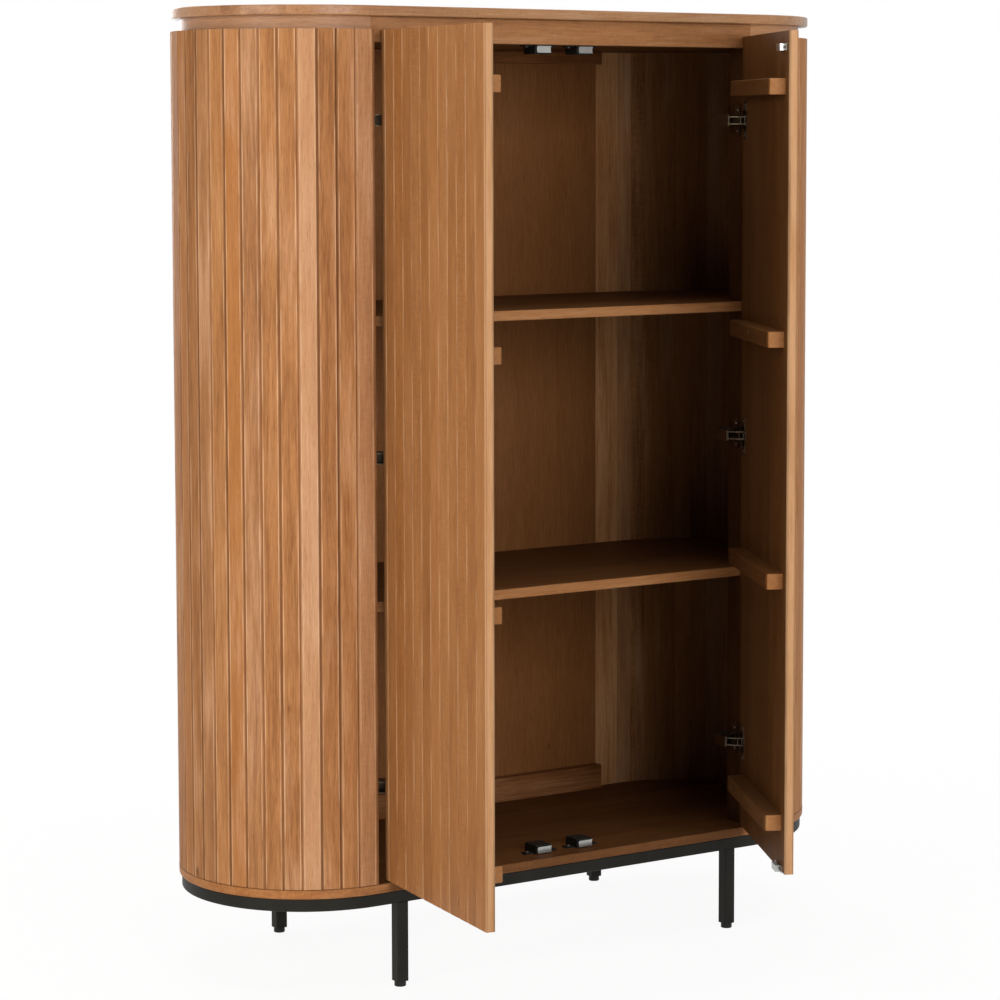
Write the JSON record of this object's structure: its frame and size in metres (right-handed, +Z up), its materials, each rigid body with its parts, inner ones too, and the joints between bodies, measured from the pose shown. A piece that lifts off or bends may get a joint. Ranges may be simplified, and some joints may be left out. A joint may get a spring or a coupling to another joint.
{
  "type": "buffet cabinet",
  "caption": "Tall free-standing cabinet with half-round staved ends, two hinged staved doors, inner shelves and a steel ring base on legs.",
  "frame": {"origin": "on the floor, at the centre of the stadium-shaped plan, between the legs", "axes": "+X to the cabinet's right seen from the front, -Y towards the person who opens the doors, +Z up"},
  "size_m": [1.1, 0.7318, 1.45],
  "materials": {
    "staves": "stained hardwood, satin lacquer",
    "door_wood": "stained hardwood, satin lacquer",
    "batten_wood": "stained hardwood, satin lacquer",
    "top_wood": "stained hardwood, satin lacquer",
    "inner_wood": "stained hardwood, satin lacquer",
    "back_wood": "stained hardwood, satin lacquer",
    "black_steel": "satin black powder coat",
    "black_plastic": "moulded, fine texture",
    "hinge_steel": "nickel plated",
    "screw_steel": "zinc plated",
    "catch_steel": "bright zinc plated"
  },
  "bodies": {
    "cabinet": {"top_board": "top_wood", "sub_top_board": "inner_wood", "front_frieze_rail": "top_wood", "rear_frieze_rail": "top_wood", "left_frieze_end": "top_wood", "right_frieze_end": "top_wood", "back_panel": "back_wood", "rear_bottom_rail": "inner_wood", "rear_top_batten": "inner_wood", "left_rear_stile": "staves", "right_rear_stile": "staves", "left_front_staves": "staves", "left_rear_staves": "staves", "right_front_staves": "staves", "right_rear_staves": "staves", "left_hinge_post": "inner_wood", "right_hinge_post": "inner_wood", "lower_shelf": "inner_wood", "upper_shelf": "inner_wood", "base_board": "inner_wood", "base_ring": "black_steel", "ring_lugs": "black_steel", "ring_screws": "screw_steel", "legs": "black_steel", "foot_glides": "black_plastic", "left_hinge_plates": "hinge_steel", "right_hinge_plates": "hinge_steel", "left_hinge_arms": "hinge_steel", "right_hinge_arms": "hinge_steel", "hinge_plate_screws": "screw_steel", "catch_housings": "black_plastic", "catch_screws": "screw_steel"},
    "left_door": {"left_door_staves": "door_wood", "left_door_battens": "batten_wood", "left_batten_screws": "screw_steel", "left_strikes": "catch_steel", "left_strike_screws": "screw_steel", "left_cup_screws": "screw_steel", "left_hinge_cups": "hinge_steel"},
    "left_outer_links_body": {"left_outer_links": "hinge_steel"},
    "left_inner_links_body": {"left_inner_links": "hinge_steel"},
    "right_door": {"right_door_staves": "door_wood", "right_door_battens": "batten_wood", "right_batten_screws": "screw_steel", "right_strikes": "catch_steel", "right_strike_screws": "screw_steel", "right_cup_screws": "screw_steel", "right_hinge_cups": "hinge_steel"},
    "right_outer_links_body": {"right_outer_links": "hinge_steel"},
    "right_inner_links_body": {"right_inner_links": "hinge_steel"},
    "lower_left_catch_tip_body": {"lower_left_catch_tip": "catch_steel"},
    "lower_right_catch_tip_body": {"lower_right_catch_tip": "catch_steel"},
    "upper_left_catch_tip_body": {"upper_left_catch_tip": "catch_steel"},
    "upper_right_catch_tip_body": {"upper_right_catch_tip": "catch_steel"}
  },
  "joints": [
    {"name": "left_outer_link_pivot", "type": "hinge", "parent": "cabinet", "child": "left_outer_links_body", "pos_m": [-0.30714, -0.18096, 0.8], "axis": [0, 0, -1], "range_deg": [-3.71, 43.67]},
    {"name": "left_door_hinge", "type": "hinge", "parent": "left_outer_links_body", "child": "left_door", "pos_m": [-0.31982, -0.20305, 0.8], "axis": [0, 0, -1], "range_deg": [-140.46, 11.9]},
    {"name": "left_inner_link_pivot", "type": "hinge", "parent": "cabinet", "child": "left_inner_links_body", "pos_m": [-0.31083, -0.15907, 0.8], "axis": [0, 0, -1], "range_deg": [-2.22, 26.05]},
    {"name": "right_outer_link_pivot", "type": "hinge", "parent": "cabinet", "child": "right_outer_links_body", "pos_m": [0.30714, -0.18096, 0.8], "axis": [0, 0, 1], "range_deg": [-18.5, 28.87]},
    {"name": "right_door_hinge", "type": "hinge", "parent": "right_outer_links_body", "child": "right_door", "pos_m": [0.32504, -0.19908, 0.8], "axis": [0, 0, 1], "range_deg": [-92.86, 59.49]},
    {"name": "right_inner_link_pivot", "type": "hinge", "parent": "cabinet", "child": "right_inner_links_body", "pos_m": [0.31083, -0.15907, 0.8], "axis": [0, 0, 1], "range_deg": [-11.04, 17.23]},
    {"name": "lower_left_catch_push", "type": "slide", "parent": "cabinet", "child": "lower_left_catch_tip_body", "axis": [0, 1, 0], "range_m": [0, 0.004], "stiffness_N_per_m": 400},
    {"name": "lower_right_catch_push", "type": "slide", "parent": "cabinet", "child": "lower_right_catch_tip_body", "axis": [0, 1, 0], "range_m": [0, 0.004], "stiffness_N_per_m": 400},
    {"name": "upper_left_catch_push", "type": "slide", "parent": "cabinet", "child": "upper_left_catch_tip_body", "axis": [0, 1, 0], "range_m": [0, 0.004], "stiffness_N_per_m": 400},
    {"name": "upper_right_catch_push", "type": "slide", "parent": "cabinet", "child": "upper_right_catch_tip_body", "axis": [0, 1, 0], "range_m": [0, 0.004], "stiffness_N_per_m": 400}
  ],
  "couplings": [
    {"joint": "left_outer_link_pivot", "follows": "left_door_hinge", "ratio": -0.31082},
    {"joint": "left_inner_link_pivot", "follows": "left_door_hinge", "ratio": -0.18539},
    {"joint": "right_outer_link_pivot", "follows": "right_door_hinge", "ratio": -0.31082},
    {"joint": "right_inner_link_pivot", "follows": "right_door_hinge", "ratio": -0.18539}
  ]
}
